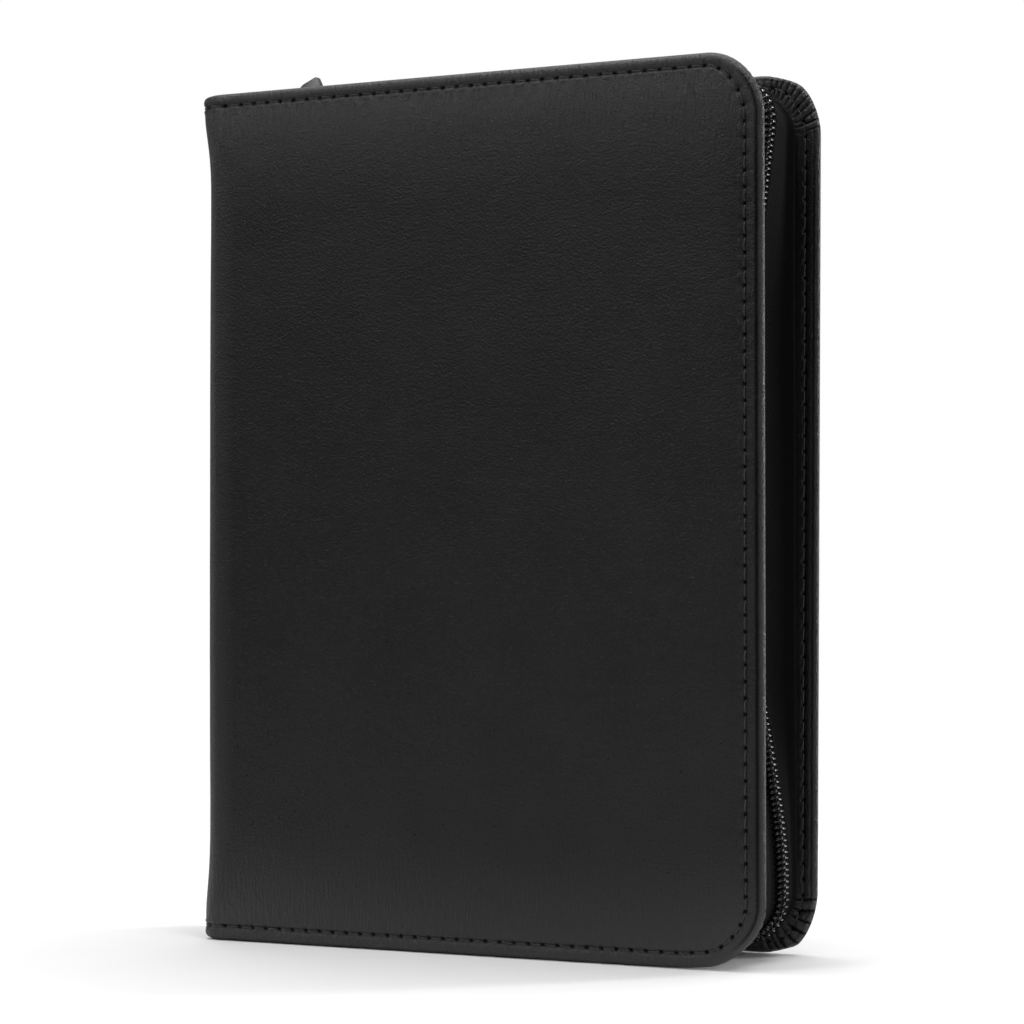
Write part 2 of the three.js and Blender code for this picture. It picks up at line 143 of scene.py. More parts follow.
# Panels, by their inset from the cover's outline and their depth from its outer face
PANEL_LEFT = -75.9
FOAM_INSET = 6.6
FOAM_DEPTHS = (1.12, 1.8)
BOARD_INSET = 5.0
BOARD_DEPTHS = (1.9, 2.9)
LINING_INSET = 7.2
LINING_DEPTHS = (3.3, COVER)
STRIP_END = 6.6  # from a cover's top and bottom to the strips of lining over the folds
POCKET_INSET = 9.0
POCKET_LEFT = -73.0
POCKET_THICK = 0.8
LAYER = 1.1  # a pocket panel and its gap
POCKET_STITCH = 3.2
POCKET_SEAM = 2.2  # from a pocket's edge to its seam
POCKET_OPEN = 5.0  # the side seams end this far below the mouth
POCKET_HEM = 3.4  # and the hem's seam runs this far below it
BINDING_DROP = 2.0  # middle of the binding, below the mouth
BINDING_TALL = 2.4  # half its height
BINDING_THICK = 0.52  # half its thickness
BINDING_SINK = 0.42  # its middle, from the panel's near face
DOCUMENT_TOP = 196.0
TOOLS_TOP = 50.0
PAD_TOP = 112.0

# Elastic loops
LOOP_RADIUS = 5.5
LOOP_RISE = 2.5
LOOP_PITCH = 22.0
LOOP_SEAM = 5.0
WEB = 0.85
TACK_OUT = 3.4  # the end rows of thread stand this far out from a loop
TACK_HALF = 0.75  # half a zigzag's width
FINE_THREAD = 0.16
POCKET_THREAD = 0.19

# Camera
CAMERA_AT = (0.3416, -0.7047, 0.0978)
CAMERA_HEADING = (-0.4352, 0.9003)
CAMERA_PITCH = math.radians(1.474)
CAMERA_LENS = 101.2

rng = random.Random(7)


# Small maths
def smooth(low, high, value):
    part = (value - low) / (high - low)
    part = min(1.0, max(0.0, part))
    return part * part * (3 - 2 * part)


def mix(a, b, part):
    return a + (b - a) * part


def bell(value, width):
    return math.exp(-((value / width) ** 2))


def times(colour, factor):
    return tuple(value * factor for value in colour)


def running_lengths(points):
    """Length along a line up to each of its points."""
    lengths = [0.0]
    for first, second in zip(points, points[1:]):
        lengths.append(lengths[-1] + math.dist(first, second))
    return lengths


def locate(lengths, length):
    """The piece of a line that a length falls in, and how far along that piece."""
    index = min(bisect.bisect_right(lengths, length), len(lengths) - 1) - 1
    return index, (length - lengths[index]) / (lengths[index + 1] - lengths[index])


def even(start, end, count):
    """Even steps from start, without the end itself."""
    return [mix(start, end, i / count) for i in range(count)]


def go_round(top, bottom, right, arc, rows):
    """A cover's outline as points with outward normals: top, corner, right side, corner, bottom."""
    low, high = CORNER, HEIGHT - CORNER
    points = [(u, HEIGHT, 0.0, 1.0) for u in top]
    for angle in even(0.0, math.pi / 2, arc):
        nu, nv = math.sin(angle), math.cos(angle)
        points.append((right - CORNER + CORNER * nu, high + CORNER * nv, nu, nv))
    points += [(right, v, 1.0, 0.0) for v in even(high, low, rows)]
    for angle in even(0.0, math.pi / 2, arc):
        nu, nv = math.cos(angle), -math.sin(angle)
        points.append((right - CORNER + CORNER * nu, low + CORNER * nv, nu, nv))
    return points + [(u, 0.0, 0.0, -1.0) for u in bottom]


# Mesh building
def add_mesh(name, points, faces, material, uvs):
    mesh = bpy.data.meshes.new(name)
    mesh.from_pydata([(x * MM, y * MM, z * MM) for x, y, z in points], [], faces)
    layer = mesh.uv_layers.new(name="UVMap")
    corner_points = [0] * len(mesh.loops)
    mesh.loops.foreach_get("vertex_index", corner_points)
    flat = []
    for index in corner_points:
        u, v = uvs[index]
        flat.extend((u * MM, v * MM))
    layer.data.foreach_set("uv", flat)
    mesh.polygons.foreach_set("use_smooth", [True] * len(mesh.polygons))
    mesh.materials.append(material)
    mesh.update()
    obj = bpy.data.objects.new(name, mesh)
    bpy.context.scene.collection.objects.link(obj)
    return obj


class Parts:
    """Points, faces and UVs that several shapes are collected in."""

    def __init__(self):
        self.points = []
        self.faces = []
        self.uvs = []

    def tube(self, path, radius, sides=6):
        """A round tube along a path, with flat ends."""
        start = len(self.points)
        count = len(path)
        along = 0.0
        for index, point in enumerate(path):
            before = Vector(path[max(index - 1, 0)])
            after = Vector(path[min(index + 1, count - 1)])
            ahead = (after - before).normalized()
            guide = Vector((0, 1, 0) if abs(ahead.y) < 0.8 else (1, 0, 0))
            across = ahead.cross(guide).normalized()
            up = across.cross(ahead)
            if index:
                along += (Vector(point) - Vector(path[index - 1])).length
            for side in range(sides):
                angle = 2 * math.pi * side / sides
                offset = across * math.cos(angle) * radius + up * math.sin(angle) * radius
                self.points.append(tuple(Vector(point) + offset))
                self.uvs.append((along, side * radius))
        self.skin(start, sides, count)

    def loft(self, rows, uv_rows):
        """A closed skin over rows of equally many points."""
        start = len(self.points)
        width = len(rows[0])
        for row, uv_row in zip(rows, uv_rows):
            self.points.extend(row)
            self.uvs.extend(uv_row)
        self.skin(start, width, len(rows))

    def skin(self, start, width, count):
        """Quads between closed rows of points, and a face over each end."""
        for r in range(count - 1):
            for k in range(width):
                a = start + r * width + k
                b = start + r * width + (k + 1) % width
                self.faces.append((a, b, b + width, a + width))
        self.faces.append(tuple(start + k for k in reversed(range(width))))
        last = start + (count - 1) * width
        self.faces.append(tuple(last + k for k in range(width)))

    def build(self, name, material):
        return add_mesh(name, self.points, self.faces, material, self.uvs)


def lofted(name, rows, uv_rows, material):
    """A piece that is one closed skin, with every face looking outwards."""
    parts = Parts()
    parts.loft(rows, uv_rows)
    obj = parts.build(name, material)
    work = bmesh.new()
    work.from_mesh(obj.data)
    bmesh.ops.recalc_face_normals(work, faces=work.faces)
    work.to_mesh(obj.data)
    work.free()
    return obj


# Materials
class Nodes:
    """Short calls for the nodes of one material or world."""

    def __init__(self, owner):
        self.owner = owner
        self.tree = owner.node_tree
        self.tree.nodes.clear()
        self.shader = None
        self.output = None

    def add(self, kind, **settings):
        node = self.tree.nodes.new(kind)
        for key, value in settings.items():
            if hasattr(node, key):
                setattr(node, key, value)
            else:
                node.inputs[key.replace("_", " ")].default_value = value
        return node

    def join(self, out, into):
        self.tree.links.new(out, into)

    def feed(self, key, out):
        """Drives one of the shader's own inputs."""
        self.join(out, self.shader.inputs[key])

    def uv(self):
        return self.add("ShaderNodeTexCoord").outputs["UV"]

    def spot(self):
        return self.add("ShaderNodeTexCoord").outputs["Object"]

    def scaled(self, vector, scale):
        node = self.add("ShaderNodeMapping")
        node.inputs["Scale"].default_value = scale
        self.join(vector, node.inputs["Vector"])
        return node.outputs["Vector"]

    def noise(self, vector, scale, detail=3.0, roughness=0.55):
        node = self.add("ShaderNodeTexNoise", Scale=scale, Detail=detail, Roughness=roughness)
        self.join(vector, node.inputs["Vector"])
        return node.outputs["Fac"]

    def cells(self, vector, scale, feature="F1"):
        node = self.add("ShaderNodeTexVoronoi", feature=feature, Scale=scale)
        self.join(vector, node.inputs["Vector"])
        return node

    def maths(self, operation, first, second=None):
        node = self.add("ShaderNodeMath", operation=operation)
        for index, value in enumerate((first, second)):
            if value is None:
                continue
            if isinstance(value, (int, float)):
                node.inputs[index].default_value = value
            else:
                self.join(value, node.inputs[index])
        return node.outputs[0]

    def wave(self, value, period):
        return self.maths("SINE", self.maths("MULTIPLY", value, 2 * math.pi / period))

    def spread(self, value, from_low, from_high, to_low=0.0, to_high=1.0, kind="LINEAR"):
        node = self.add("ShaderNodeMapRange", interpolation_type=kind)
        limits = (from_low, from_high, to_low, to_high)
        for key, limit in zip(("From Min", "From Max", "To Min", "To Max"), limits):
            node.inputs[key].default_value = limit
        self.join(value, node.inputs["Value"])
        return node.outputs["Result"]

    def blend(self, part, first, second):
        node = self.add("ShaderNodeMix", data_type="RGBA")
        if isinstance(part, (int, float)):
            node.inputs[0].default_value = part
        else:
            self.join(part, node.inputs[0])
        for index, colour in ((6, first), (7, second)):
            if isinstance(colour, tuple):
                node.inputs[index].default_value = (*colour, 1)
            else:
                self.join(colour, node.inputs[index])
        return node.outputs[2]

    def bump(self, height, distance, strength=1.0, under=None):
        node = self.add("ShaderNodeBump", Distance=distance, Strength=strength)
        self.join(height, node.inputs["Height"])
        if under is not None:
            self.join(under, node.inputs["Normal"])
        return node.outputs["Normal"]

    def parts(self, vector):
        node = self.add("ShaderNodeSeparateXYZ")
        self.join(vector, node.inputs[0])
        return node.outputs


def new_material(name, colour, roughness, specular=0.5, metallic=0.0, sheen=0.0):
    material = bpy.data.materials.new(name)
    material.use_nodes = True
    n = Nodes(material)
    n.output = n.add("ShaderNodeOutputMaterial")
    n.shader = n.add(
        "ShaderNodeBsdfPrincipled",
        Base_Color=(*colour, 1),
        Roughness=roughness,
        Specular_IOR_Level=specular,
        Metallic=metallic,
        Sheen_Weight=sheen,
    )
    n.join(n.shader.outputs["BSDF"], n.output.inputs["Surface"])
    return n


def leather_material(name, dark, light, grain, fold_sheen):
    """Fine faux leather. Shade is painted in: where the mesh's hollow shade is above zero it turns
    black and metallic, so that it reflects nothing.
    """
    n = new_material(name, dark, 0.4, specular=0.32)
    uv = n.uv()
    height = n.parts(uv)[1]
    from_middle = n.maths("ABSOLUTE", n.maths("SUBTRACT", height, HEIGHT / 2 * MM))
    # Near the top and bottom: a pillow bump, and painted sheen in the tone.
    end = n.spread(from_middle, 0.082, 0.1145)
    end = n.maths("MULTIPLY", end, end)
    hollow = n.add("ShaderNodeAttribute", attribute_name="hollow").outputs["Fac"]
    tone = leather_tone(n, uv, end, hollow, dark, light, fold_sheen)
    # Painted shade: black in the stitch holes, the edge's groove and the pleats' valleys; the metallic
    # stops any reflection there.
    n.feed("Base Color", n.blend(hollow, tone, (0.0003, 0.0003, 0.0003)))
    n.feed("Metallic", n.spread(hollow, 0.0, 1.0))
    wrinkle = n.noise(uv, 1500.0, roughness=0.6)
    rough = n.spread(n.noise(uv, 600.0, detail=4.0), 0.3, 0.7, 0.3, 0.44)
    n.feed("Roughness", n.maths("ADD", rough, n.spread(wrinkle, 0.3, 0.7, -0.07, 0.07)))
    n.feed("Normal", leather_relief(n, uv, from_middle, end, wrinkle, grain))
    return n.owner


def leather_tone(n, uv, end, hollow, dark, light, fold_sheen):
    """Soft cloudy shade, fine flecks and a few motes.

    Painted sheen lightens it towards its top and bottom and along the spine's folds.
    A painted highlight lightens it where the mesh's shade is below zero.
    """
    # Pale tone for the random flecks, and for the painted sheen and painted highlights.
    fleck_and_sheen = times(light, 5.0)
    tone = n.blend(n.spread(n.noise(uv, 45.0, detail=4.0), 0.3, 0.7), dark, light)
    fold = n.maths("ABSOLUTE", n.maths("ADD", n.parts(uv)[0], 0.0025))
    fold = n.spread(fold, 0.0, 0.007, fold_sheen, 0.0)
    # Painted sheen towards the top and bottom and along the spine's folds.
    tone = n.blend(n.maths("MAXIMUM", end, fold), tone, fleck_and_sheen)
    tone = n.blend(n.spread(n.noise(uv, 2200.0), 0.5, 0.74, 0.0, 0.42), tone, fleck_and_sheen)
    mote = n.cells(uv, 62.0)
    near = n.spread(mote.outputs["Distance"], 0.012, 0.02, 1.0, 0.0)
    picked = n.maths("GREATER_THAN", n.parts(mote.outputs["Color"])[0], 0.72)
    tone = n.blend(n.maths("MULTIPLY", near, picked), tone, (0.16, 0.15, 0.145))
    # Painted highlight where the shade is below zero: the front cover's bead and the pleats' crests.
    return n.blend(n.maths("MULTIPLY", hollow, -1.0), tone, fleck_and_sheen)


def leather_relief(n, uv, from_middle, end, wrinkle, grain):
    """Fine grain, and creases that run to the seams at the top and bottom."""
    normal = n.bump(n.maths("SUBTRACT", 1.0, end), 0.0018)
    pores = n.cells(uv, 2600.0, feature="SMOOTH_F1").outputs["Distance"]
    normal = n.bump(pores, 0.00006 * grain, 1.0, normal)
    normal = n.bump(wrinkle, 0.00022 * grain, 1.0, normal)
    lines = n.noise(n.scaled(uv, (500.0, 700.0, 1.0)), 1.0)
    normal = n.bump(lines, 0.0001 * grain, 1.0, normal)
    crease = n.noise(n.scaled(uv, (1300.0, 190.0, 1.0)), 1.0, detail=2.0)
    crease = n.maths("MULTIPLY", crease, n.spread(from_middle, 0.08, 0.112))
    return n.bump(crease, 0.00042, 1.0, normal)


def twill_material(name, colour, pitch, centre):
    """Herringbone twill: slanting ribs that turn back at the middle of the tape."""
    n = new_material(name, colour, 0.8, specular=0.04, sheen=0.02)
    u, v, _ = n.parts(n.uv())
    folded = n.maths("ABSOLUTE", n.maths("SUBTRACT", v, centre))
    rib = n.wave(n.maths("ADD", u, folded), pitch)
    thread = n.wave(v, pitch * 0.5)
    fuzz = n.noise(n.uv(), 2600.0, detail=2.0)
    part = n.spread(n.maths("ADD", rib, n.maths("MULTIPLY", thread, 0.35)), -1.3, 1.3)
    bright = times(colour, 4.5)
    n.feed("Base Color", n.blend(n.maths("MULTIPLY", part, fuzz), colour, bright))
    n.feed("Normal", n.bump(part, 0.00012, 0.8))
    return n.owner


def weave_material(name, colour, across, along):
    """Plain weave from two crossed sets of threads, with paler patches."""
    n = new_material(name, colour, 0.8, specular=0.25, sheen=0.1)
    u, v, _ = n.parts(n.uv())
    warp = n.wave(u, across)
    weft = n.wave(v, along)
    woven = n.spread(n.maths("MULTIPLY", warp, weft), -1.0, 1.0)
    patch = n.noise(n.uv(), 90.0, detail=4.0)
    bright = times(colour, 1.9)
    part = n.maths("MULTIPLY", woven, n.spread(patch, 0.3, 0.7, 0.5, 1.0))
    n.feed("Base Color", n.blend(part, colour, bright))
    n.feed("Normal", n.bump(woven, 0.0001, 0.7))
    return n.owner


def elastic_material():
    """Ribbed elastic: fine cords along the strip, crossed by a tight weave."""
    n = new_material("elastic_web", (0.012, 0.012, 0.013), 0.7, specular=0.3, sheen=0.15)
    u, v, _ = n.parts(n.uv())
    cords = n.maths("ABSOLUTE", n.wave(v, 0.0022))
    cross = n.wave(u, 0.0007)
    height = n.maths("ADD", cords, n.maths("MULTIPLY", cross, 0.25))
    part = n.spread(height, 0.0, 1.2)
    n.feed("Base Color", n.blend(part, (0.007, 0.007, 0.008), (0.024, 0.024, 0.026)))
    n.feed("Normal", n.bump(height, 0.00025, 0.8))
    return n.owner


def thread_material(name, colour, roughness, specular):
    n = new_material(name, colour, roughness, specular)
    ply = n.wave(n.parts(n.uv())[0], 0.0005)
    n.feed("Normal", n.bump(ply, 0.00005, 0.6))
    fuzz = n.noise(n.uv(), 3000.0, detail=1.0)
    n.feed("Base Color", n.blend(fuzz, colour, times(colour, 1.8)))
    return n.owner


def nylon_material():
    n = new_material("coil_nylon", (0.012, 0.012, 0.013), 0.2, specular=0.8)
    rough = n.spread(n.noise(n.spot(), 900.0), 0.3, 0.7, 0.14, 0.28)
    n.feed("Roughness", rough)
    tone = n.blend(n.noise(n.spot(), 300.0), (0.004, 0.004, 0.005), (0.010, 0.010, 0.011))
    n.feed("Base Color", tone)
    return n.owner


def metal_material():
    """Grey plated metal with a faint mottle and fine scratches."""
    n = new_material("plated_metal", (0.05, 0.05, 0.052), 0.34, metallic=1.0)
    spot = n.spot()
    mottle = n.noise(spot, 900.0, detail=4.0)
    tone = n.blend(n.spread(mottle, 0.35, 0.65), (0.045, 0.045, 0.047), (0.1, 0.1, 0.103))
    n.feed("Base Color", tone)
    n.feed("Roughness", n.spread(mottle, 0.3, 0.7, 0.28, 0.46))
    scratch = n.noise(n.scaled(spot, (200.0, 200.0, 2600.0)), 1.0, detail=2.0)
    n.feed("Normal", n.bump(scratch, 0.00002, 0.5))
    return n.owner


def plain_material(name, colour, roughness, grain_scale, grain_depth):
    """Board and foam: an even colour broken up by grain."""
    n = new_material(name, colour, roughness, specular=0.2)
    grain = n.noise(n.spot(), grain_scale, detail=4.0)
    n.feed("Base Color", n.blend(grain, times(colour, 0.7), colour))
    n.feed("Normal", n.bump(grain, grain_depth, 0.6))
    return n.owner


LEATHER = leather_material("case_leather", (0.0028, 0.0027, 0.0028), (0.0062, 0.0061, 0.0061), 1.0, 0.8)
POCKET = leather_material("pocket_leather", (0.005, 0.0049, 0.005), (0.009, 0.0088, 0.009), 0.5, 0.0)
BINDING = weave_material("binding_tape", (0.014, 0.014, 0.015), 0.0009, 0.0005)
LINING = weave_material("lining_cloth", (0.011, 0.011, 0.013), 0.0007, 0.0005)
TWILL = twill_material("zip_twill", (0.0010, 0.0010, 0.0011), 0.0010, 0.009)
ELASTIC = elastic_material()
THREAD_BLACK = thread_material("seam_thread", (0.014, 0.014, 0.014), 0.4, 0.65)
THREAD_COIL = thread_material("coil_thread", (0.003, 0.003, 0.0033), 0.75, 0.12)
NYLON = nylon_material()
METAL = metal_material()
BOARD = plain_material("grey_board", (0.32, 0.28, 0.23), 0.85, 900.0, 0.00005)
FOAM = plain_material("foam_sheet", (0.12, 0.12, 0.12), 0.9, 1600.0, 0.0001)


# Leather sheet: u runs from the middle of the spine to the opening edge, v is the height
def spine_swell(v):
    """How far the spine's leather stands out past the flat spine, most at its stitched ends."""
    flare = SPINE_FLARE * bell(v, FLARE_REACH)
    flare += SPINE_FLARE_TOP * bell(HEIGHT - v, FLARE_REACH_TOP)
    return SPINE_STAND + SPINE_BULGE * math.sin(math.pi * v / HEIGHT - 0.5) + flare


def place(side, u, v, depth):
    """A point of the unfolded leather, folded round the spine."""
    if u >= 0:
        x = INNER_LEFT + u
        y = HALF - depth
    elif u > -FOLD_ARC:
        angle = -u / COVER
        reach = max(COVER - depth, 0.15)
        x = INNER_LEFT - reach * math.sin(angle)
        y = HALF - COVER + reach * math.cos(angle)
    else:
        x = SPINE_END + min(depth, COVER - 0.15)
        y = HALF - COVER + FOLD_ARC + u
    x -= spine_swell(v) * smooth(5.0, -FOLD_ARC, u) * smooth(3.7, 1.2, depth)
    opening = smooth(SHEET_CORNER, SHEET_RIGHT, u)
    if side < 0:
        x -= COVER_SHRINK * opening
        v += CORNER_LIFT * smooth(SHEET_CORNER - 8, SHEET_RIGHT - 5, u) * smooth(22.0, 2.0, v)
    else:
        x -= opening * mix(BACK_LEAN, -BACK_REACH, v / HEIGHT)
        corner = smooth(SHEET_CORNER - 4, SHEET_CORNER + 10, u)
        squared = smooth(0.0, 5.0, v) * smooth(16.0, 4.0, v)
        squared_top = smooth(0.0, 5.0, HEIGHT - v) * smooth(13.0, 5.0, HEIGHT - v)
        v += corner * (CORNER_DROP_TOP * squared_top - CORNER_DROP * squared)
    return x, side * y, v


# The top's points stand closer where the leather folds round the spine
TOP = even(SHEET_LEFT, -7.5, 36) + even(-7.5, 1.5, 36) + even(1.5, SHEET_CORNER, 336)
ARC_STEPS = 108
TOP_STEPS = len(TOP) + ARC_STEPS
SIDE_STEPS = 474
SAMPLES = go_round(TOP, [SHEET_CORNER] + TOP[::-1], SHEET_RIGHT, ARC_STEPS, SIDE_STEPS)


def at_inset(sample, inset):
    u, v, nu, nv = sample
    return u - nu * inset, v - nv * inset


def seam_inset(sample):
    """The seam stands further in along the opening edge than along the top and bottom."""
    _, _, nu, nv = sample
    end = SEAM_TOP if nv >= 0 else SEAM_BOTTOM
    return mix(end, SEAM_SIDE, smooth(0.1, 0.95, nu))


OUTER_INSETS = [seam_inset(sample) for sample in SAMPLES]
INNER_INSETS = [SEAM_INSIDE] * len(SAMPLES)
OUTER_LENGTHS = running_lengths([*map(at_inset, SAMPLES, OUTER_INSETS)])
INNER_LENGTHS = running_lengths([*map(at_inset, SAMPLES, INNER_INSETS)])


def pit_depth(length):
    """The thread pulls the leather in, most at the holes."""
    return PIT * (0.2 + 0.8 * hole_share(length))


def hole_share(length):
    """1 at a needle hole, falling to 0 between two."""
    return abs(math.cos(math.pi * length / STITCH)) ** 8


def pleat_height(sample, inset, side):
    """Gathers of the turned-in leather round the two corners, from 0 in a valley to 1."""
    _, _, nu, nv = sample
    if not 0.001 < nu < 0.999:
        return None
    angle = math.atan2(abs(nv), nu) / (math.pi / 2)
    top = nv > 0
    count = PLEATS_TOP if top else PLEATS_BOTTOM
    wander = 0.35 * noise.noise(Vector((angle * 6.0, side * 3.1 + (7.0 if top else 0.0), 0.5)))
    lean = 0.10 * (inset - 2.0) * (1 if top else -1)
    turn = angle * count + wander + lean
    ridge = abs(math.sin(math.pi * turn)) ** 0.55
    size = 0.8 + 0.45 * noise.noise(Vector((math.floor(turn) * 1.7, side * 5.0, 2.0)))
    return ridge * size


def pillow_drop(inset, seam):
    part = max(0.0, (PILLOW_INSET - inset) / (PILLOW_INSET - seam))
    return PILLOW * part ** 2.6


# Profile across the edge: insets of the face, offsets from the seam, then insets with depths
FACE_INSETS = (FACE_INSET, 14.0, 12.4, 10.8, 9.4, 8.4, 7.7)
SEAM_OFFSETS = (2.0, 1.4, 1.0, 0.7, 0.45, 0.22, 0.0, -0.22, -0.45, -0.7)
EDGE = (
    (2.65, 0.47),
    (2.3, 0.42),
    (1.95, 0.42),
    (1.6, 0.48),
    (1.3, 0.58),
    (1.0, 0.74),
    (0.72, 0.95),
    (0.46, 1.22),
    (0.24, 1.54),
    (0.08, 1.9),
    (0.0, 2.25),
    (0.08, 2.6),
    (0.27, 2.95),
    (0.52, 3.34),
    (0.85, 3.62),
    (1.15, 3.70),
    (1.4, 3.66),
    (1.65, 3.70),
    (1.95, 3.84),
    (2.4, 3.90),
)
MARGIN_OFFSETS = (0.9, 0.45, 0.2, 0.0, -0.2, -0.45, -0.9)
MARGIN_END = ((5.4, 3.95), (6.4, 3.98), (6.75, 3.9), (6.85, 3.4), (6.85, 2.4))


def leather_profile(index, side):
    """Across the edge, from the face over the edge to the turned-in margin.

    Each point is an inset, a depth and a shade: 1 where painted shade darkens a hollow, to -1 where a
    painted highlight lightens a crest.
    """
    sample = SAMPLES[index]
    seam = OUTER_INSETS[index]
    pit = pit_depth(OUTER_LENGTHS[index])
    inner_pit = pit_depth(INNER_LENGTHS[index])
    puff = PUFF * math.sin(math.pi * OUTER_LENGTHS[index] / STITCH) ** 2
    hole = hole_share(OUTER_LENGTHS[index])
    inner_hole = hole_share(INNER_LENGTHS[index])
    points = [(inset, pillow_drop(inset, seam), 0.0) for inset in FACE_INSETS]
    for offset in SEAM_OFFSETS:
        drop = pillow_drop(seam + offset, seam) if offset > 0 else SEAM_DROP
        drop += pit * bell(offset, PIT_WIDTH) - puff * bell(abs(offset) - 1.0, 0.4)
        # Painted shade in each needle hole of the outer seam.
        points.append((seam + offset, drop, hole * bell(offset, HOLE_WIDTH)))
    opening = smooth(0.3, 0.9, sample[2])
    for inset, depth in EDGE:
        # Painted shade in the groove along the opening edge.
        shade = GROOVE_SHADE * bell(inset - GROOVE_INSET, 0.5) * smooth(2.0, 1.0, depth)
        if side < 0:
            # Painted highlight on the front cover's bead: the shade goes below zero and the material
            # paints it pale.
            shade -= BEAD_HIGHLIGHT * bell(inset - BEAD_INSET, 0.6) * smooth(2.4, 1.4, depth)
        points.append((inset, depth, shade * opening))
    for offset in MARGIN_OFFSETS:
        depth = MARGIN_DEPTH - 0.8 * inner_pit * bell(offset, 0.38)
        # Painted shade in each needle hole of the margin's seam.
        points.append((SEAM_INSIDE - offset, depth, inner_hole * bell(offset, HOLE_WIDTH)))
    points += [(inset, depth, 0.0) for inset, depth in MARGIN_END]
    return [shape_pleat(sample, *point, side) for point in points]


def shape_pleat(sample, inset, depth, hollow, side):
    ridge = pleat_height(sample, inset, side)
    if ridge is None or depth < 1.6:
        return inset, depth, hollow
    along = math.atan2(abs(sample[3]), sample[2]) / (math.pi / 2)
    fade = smooth(0.0, 0.1, along) * smooth(1.0, 0.88, along)
    reach = smooth(1.6, 3.3, depth) * smooth(6.1, 5.2, inset)
    lift = PLEAT * (ridge - 0.6) * fade * reach
    inward = 0.10 * (ridge - 0.5) * fade * smooth(1.6, 2.6, depth) * smooth(1.4, 0.5, inset)
    valley = smooth(0.55, 0.15, ridge) * fade * reach
    crest = smooth(0.7, 1.0, ridge) * fade * reach
    # Painted shade in the pleats' valleys and a painted highlight on their crests.
    return inset - inward, depth + lift, max(hollow, 0.9 * valley) - 0.9 * crest


def leather_point(side, u, v, depth):
    """Adds the slight unevenness of leather over foam."""
    wave = noise.noise(Vector((u * 0.045, v * 0.045, side * 9.0)))
    ripple = noise.noise(Vector((u * 0.16, v * 0.16, side * 4.0 + 20)))
    inner = smooth(3.0, 1.0, depth)
    bow = BOW * abs(2 * v / HEIGHT - 1) ** 4
    return place(side, u, v, depth + inner * (bow + WAVE * wave + RIPPLE * ripple))


def leather_rim(side, profiles):
    """Points, UVs and shades of every profile. UVs unroll the leather over the edge."""
    points, uvs, shades = [], [], []
    for sample, profile in zip(SAMPLES, profiles):
        u, v, nu, nv = sample
        run = 0.0
        last = profile[0]
        for inset, depth, shade in profile:
            run += math.hypot(inset - last[0], depth - last[1])
            last = (inset, depth)
            shades.append(shade)
            points.append(leather_point(side, *at_inset(sample, inset), depth))
            reach = run - FACE_INSET
            uvs.append((u + nu * reach, v + nv * reach))
    return points, uvs, shades


def fill_face(side, width, points, uvs, faces):
    """The face inside the profiles: a ring a third as dense, then a grid across it."""
    ring = []
    for sample in SAMPLES[::3]:
        ring.append(len(points))
        u, v = at_inset(sample, FACE_INSET + RING_STEP)
        points.append(leather_point(side, u, v, 0.0))
        uvs.append((u, v))
    for m in range(len(ring) - 1):
        outer = [(3 * m + step) * width for step in (3, 2, 1, 0)]
        faces.append((ring[m], ring[m + 1], *outer))
    columns = TOP_STEPS // 3
    rows = SIDE_STEPS // 3
    grid = []
    for c in range(columns):
        top, bottom = ring[c], ring[-1 - c]
        column = [top]
        for r in range(1, rows):
            column.append(len(points))
            u, v = uvs[top][0], mix(uvs[top][1], uvs[bottom][1], r / rows)
            points.append(leather_point(side, u, v, 0.0))
            uvs.append((u, v))
        grid.append(column + [bottom])
    grid.append([ring[columns + r] for r in range(rows + 1)])
    for c in range(columns):
        for r in range(rows):
            faces.append((grid[c][r], grid[c][r + 1], grid[c + 1][r + 1], grid[c + 1][r]))


def add_leather(side, name):
    """One cover's leather with its half of the spine."""
    profiles = [leather_profile(index, side) for index in range(len(SAMPLES))]
    width = len(profiles[0])
    points, uvs, shades = leather_rim(side, profiles)
    faces = []
    for j in range(len(SAMPLES) - 1):
        for k in range(width - 1):
            a = j * width + k
            faces.append((a, a + width, a + width + 1, a + 1))
    fill_face(side, width, points, uvs, faces)
    if side > 0:
        faces = [tuple(reversed(face)) for face in faces]
    skin = add_mesh(name, points, faces, LEATHER, uvs)
    # The hollow attribute carries painted shade (above zero) and painted highlight (below zero) to the
    # material.
    layer = skin.data.attributes.new("hollow", "FLOAT", "POINT")
    layer.data.foreach_set("value", shades + [0.0] * (len(points) - len(shades)))
    return skin


def along_seam(lengths, insets, length):
    """Point of the sheet at a length along a seam, and the outward normal there."""
    index, part = locate(lengths, length)
    first, second = (Vector(at_inset(SAMPLES[i], insets[i])) for i in (index, index + 1))
    return first.lerp(second, part), Vector(SAMPLES[index][2:])


